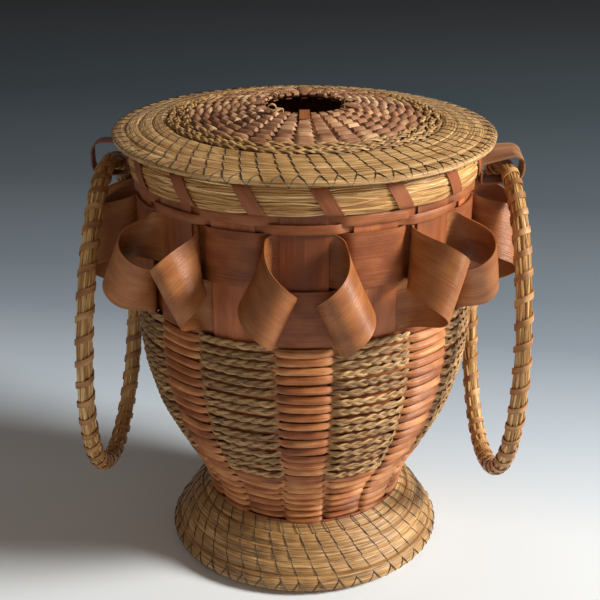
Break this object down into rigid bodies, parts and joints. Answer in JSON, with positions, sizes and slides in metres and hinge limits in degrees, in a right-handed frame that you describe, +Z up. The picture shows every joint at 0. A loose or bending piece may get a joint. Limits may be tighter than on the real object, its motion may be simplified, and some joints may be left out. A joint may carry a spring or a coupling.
{
  "type": "lidded yarn basket",
  "caption": "Lidded yarn basket of split wood and sweetgrass with curled ribbons, a coiled foot, hanging hoops and a hole in the lid for the yarn.",
  "frame": {"origin": "on the floor under the middle of the basket", "axes": "+Z up along the basket's axis, the hoops hang at +X and -X, the front looks to -Y"},
  "size_m": [0.2279, 0.2214, 0.2433],
  "materials": {
    "stained_splint": "satin, reddish brown split wood",
    "curled_splint": "smooth satin split wood ribbon",
    "sweetgrass": "dry golden grass bundles sewn with dark thread"
  },
  "bodies": {
    "basket": {"base_weave": "stained_splint", "woven_wall": "stained_splint", "foot_coil": "sweetgrass", "upright_01": "stained_splint", "upright_02": "stained_splint", "upright_03": "stained_splint", "upright_04": "stained_splint", "upright_05": "stained_splint", "upright_06": "stained_splint", "upright_07": "stained_splint", "upright_08": "stained_splint", "upright_09": "stained_splint", "upright_10": "stained_splint", "upright_11": "stained_splint", "upright_12": "stained_splint", "upright_13": "stained_splint", "upright_14": "stained_splint", "upright_15": "stained_splint", "upright_16": "stained_splint", "wide_weaver_lower": "stained_splint", "wide_weaver_upper": "stained_splint", "narrow_weaver_lower": "stained_splint", "narrow_weaver_upper": "stained_splint", "curl_pair_1": "curled_splint", "curl_pair_2": "curled_splint", "curl_pair_3": "curled_splint", "curl_pair_4": "curled_splint", "curl_pair_5": "curled_splint", "curl_pair_6": "curled_splint", "curl_pair_7": "curled_splint", "curl_pair_8": "curled_splint", "rim_inner_hoop": "stained_splint", "rim_grass_bundle": "sweetgrass", "rim_lashing": "stained_splint", "ear_left": "stained_splint", "ear_right": "stained_splint"},
    "lid": {"lid_weave": "stained_splint", "lid_border_coil": "sweetgrass", "lid_flange_hoop": "stained_splint", "lid_spoke_01": "stained_splint", "lid_spoke_02": "stained_splint", "lid_spoke_03": "stained_splint", "lid_spoke_04": "stained_splint", "lid_spoke_05": "stained_splint", "lid_spoke_06": "stained_splint", "lid_spoke_07": "stained_splint", "lid_spoke_08": "stained_splint", "lid_spoke_09": "stained_splint", "lid_spoke_10": "stained_splint", "lid_spoke_11": "stained_splint", "lid_spoke_12": "stained_splint", "lid_spoke_13": "stained_splint", "lid_spoke_14": "stained_splint", "lid_spoke_15": "stained_splint", "lid_spoke_16": "stained_splint"},
    "handle_right": {"handle_core_right": "sweetgrass", "handle_wrap_right": "stained_splint"},
    "handle_left": {"handle_core_left": "sweetgrass", "handle_wrap_left": "stained_splint"}
  },
  "joints": [
    {"name": "lid_lift", "type": "slide", "parent": "basket", "child": "lid", "axis": [0, 0, 1], "range_m": [0, 0.12]},
    {"name": "handle_right_swing", "type": "hinge", "parent": "basket", "child": "handle_right", "pos_m": [0.1024, 0, 0.209], "axis": [0, -1, 0], "range_deg": [0, 170]},
    {"name": "handle_left_swing", "type": "hinge", "parent": "basket", "child": "handle_left", "pos_m": [-0.099, 0, 0.212], "axis": [0, 1, 0], "range_deg": [0, 170]}
  ]
}
